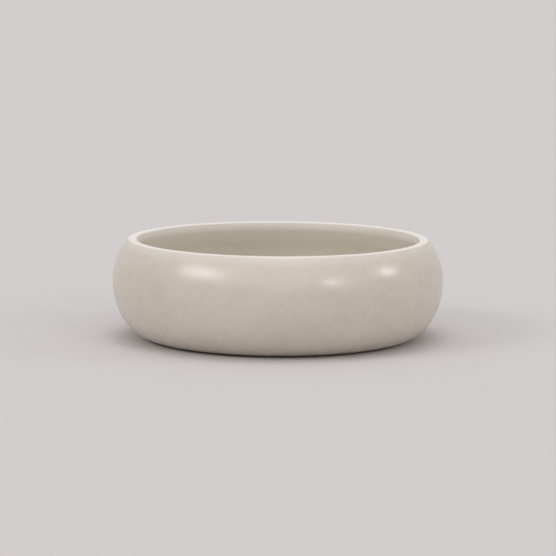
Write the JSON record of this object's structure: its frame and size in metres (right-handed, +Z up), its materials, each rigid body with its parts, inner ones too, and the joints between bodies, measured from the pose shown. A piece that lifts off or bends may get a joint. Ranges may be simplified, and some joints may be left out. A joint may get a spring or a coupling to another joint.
{
  "type": "bowl planter",
  "caption": "Low round concrete bowl planter for the floor, with a rounded wall turning in to a flat rim, a sleeved drain, a lift-out rubber stopper and floor pads.",
  "frame": {"origin": "on the floor, under the centre of the bowl, level with the bottom of the pads", "axes": "+Z up along the bowl's axis of revolution; +X and +Y run between the pads, which sit on the diagonals; the picture is taken from -Y"},
  "size_m": [0.6, 0.6, 0.18],
  "materials": {
    "concrete": "satin",
    "sleeve_plastic": "satin",
    "stopper_rubber": "matte",
    "pad_rubber": "matte"
  },
  "bodies": {
    "planter": {"bowl_shell": "concrete", "drain_sleeve": "sleeve_plastic", "foot_pad_1": "pad_rubber", "foot_pad_2": "pad_rubber", "foot_pad_3": "pad_rubber", "foot_pad_4": "pad_rubber"},
    "stopper": {"drain_plug": "stopper_rubber"}
  },
  "joints": [
    {"name": "drain_plug_lift", "type": "slide", "parent": "planter", "child": "stopper", "axis": [0, 0, 1], "range_m": [0, 0.2]}
  ]
}
